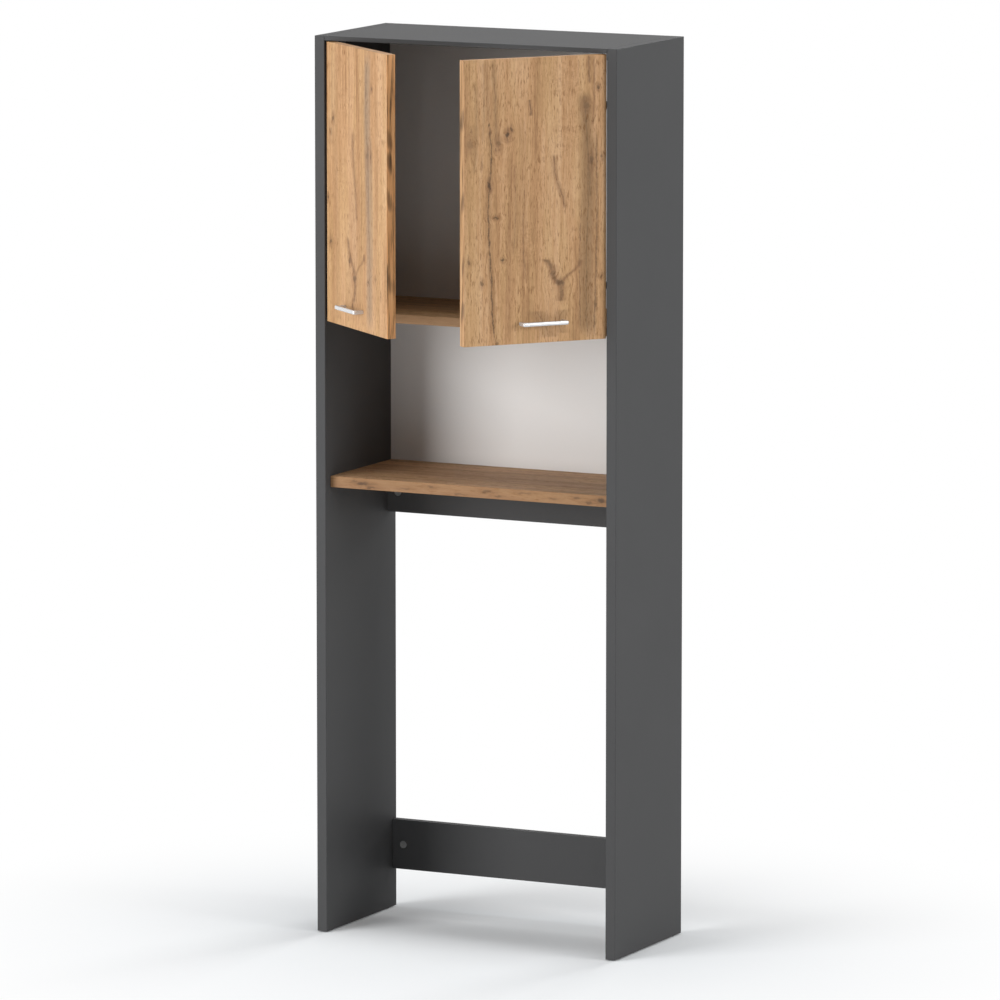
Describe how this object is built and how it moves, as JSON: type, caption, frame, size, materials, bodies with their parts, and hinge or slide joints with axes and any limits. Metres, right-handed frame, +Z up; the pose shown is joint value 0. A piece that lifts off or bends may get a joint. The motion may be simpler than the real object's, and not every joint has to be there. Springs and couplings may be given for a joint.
{
  "type": "washing machine cabinet",
  "caption": "Tall cabinet that stands over a washing machine: open bay, countertop, open niche and a cupboard with doors ajar.",
  "frame": {"origin": "on the floor, in the middle of the box round the whole cabinet with its doors ajar", "axes": "+Z up, +Y from the doors' side to the wall, +X to the right as seen from the front"},
  "size_m": [0.65, 0.5315, 1.77],
  "materials": {
    "graphite_board": "matt graphite melamine on chipboard",
    "oak_board": "rustic oak print on chipboard",
    "light_board": "white hardboard",
    "satin_chrome": "satin",
    "zinc_steel": "zinc plated",
    "grey_plastic": "moulded"
  },
  "bodies": {
    "carcass": {"side_panel_left": "graphite_board", "side_panel_right": "graphite_board", "top_panel": "graphite_board", "upper_rear_rail": "graphite_board", "lower_rear_rail": "graphite_board", "countertop": "oak_board", "cupboard_floor": "oak_board", "back_panel": "light_board", "cam_lock_countertop_left_front": "zinc_steel", "cam_lock_countertop_left_rear": "zinc_steel", "cam_lock_countertop_right_front": "zinc_steel", "cam_lock_countertop_right_rear": "zinc_steel", "cam_lock_cupboard_floor_left_front": "zinc_steel", "cam_lock_cupboard_floor_left_rear": "zinc_steel", "cam_lock_cupboard_floor_right_front": "zinc_steel", "cam_lock_cupboard_floor_right_rear": "zinc_steel", "cam_lock_upper_rail_left": "zinc_steel", "cam_lock_upper_rail_right": "zinc_steel", "cam_lock_lower_rail_left": "zinc_steel", "cam_lock_lower_rail_right": "zinc_steel", "wall_bracket_left": "zinc_steel", "wall_bracket_right": "zinc_steel", "hinge_arm_lower_left": "zinc_steel", "hinge_arm_upper_left": "zinc_steel", "hinge_plate_lower_left": "zinc_steel", "hinge_plate_upper_left": "zinc_steel", "hinge_arm_lower_right": "zinc_steel", "hinge_arm_upper_right": "zinc_steel", "hinge_plate_lower_right": "zinc_steel", "hinge_plate_upper_right": "zinc_steel", "foot_glide_front_left": "grey_plastic", "foot_glide_rear_left": "grey_plastic", "foot_glide_front_right": "grey_plastic", "foot_glide_rear_right": "grey_plastic", "corner_block_front_left": "grey_plastic", "corner_block_rear_left": "grey_plastic", "corner_block_front_right": "grey_plastic", "corner_block_rear_right": "grey_plastic"},
    "left_door": {"door_left": "oak_board", "handle_left": "satin_chrome", "handle_screw_inner_left": "zinc_steel", "handle_screw_outer_left": "zinc_steel", "hinge_cup_lower_left": "zinc_steel", "hinge_cup_upper_left": "zinc_steel", "door_bumper_left": "grey_plastic"},
    "right_door": {"door_right": "oak_board", "handle_right": "satin_chrome", "handle_screw_inner_right": "zinc_steel", "handle_screw_outer_right": "zinc_steel", "hinge_cup_lower_right": "zinc_steel", "hinge_cup_upper_right": "zinc_steel", "door_bumper_right": "grey_plastic"},
    "left_hinge_links": {"hinge_link_lower_left": "zinc_steel", "hinge_link_upper_left": "zinc_steel"},
    "right_hinge_links": {"hinge_link_lower_right": "zinc_steel", "hinge_link_upper_right": "zinc_steel"}
  },
  "joints": [
    {"name": "left_door_hinge", "type": "hinge", "parent": "carcass", "child": "left_door", "pos_m": [-0.296, -0.03356, 1.486], "axis": [0, 0, -1], "range_deg": [-40, 55]},
    {"name": "right_door_hinge", "type": "hinge", "parent": "carcass", "child": "right_door", "pos_m": [0.296, -0.03356, 1.486], "axis": [0, 0, 1], "range_deg": [-52, 43]},
    {"name": "left_hinge_link_pivot", "type": "hinge", "parent": "left_door", "child": "left_hinge_links", "pos_m": [-0.28528, -0.02624, 1.486], "axis": [0, 0, 1], "range_deg": [-66.7, 91.7]},
    {"name": "right_hinge_link_pivot", "type": "hinge", "parent": "right_door", "child": "right_hinge_links", "pos_m": [0.28399, -0.02862, 1.486], "axis": [0, 0, -1], "range_deg": [-86.7, 71.7]}
  ],
  "couplings": [
    {"joint": "left_hinge_link_pivot", "follows": "left_door_hinge", "ratio": 1.6648},
    {"joint": "right_hinge_link_pivot", "follows": "right_door_hinge", "ratio": 1.6648}
  ]
}
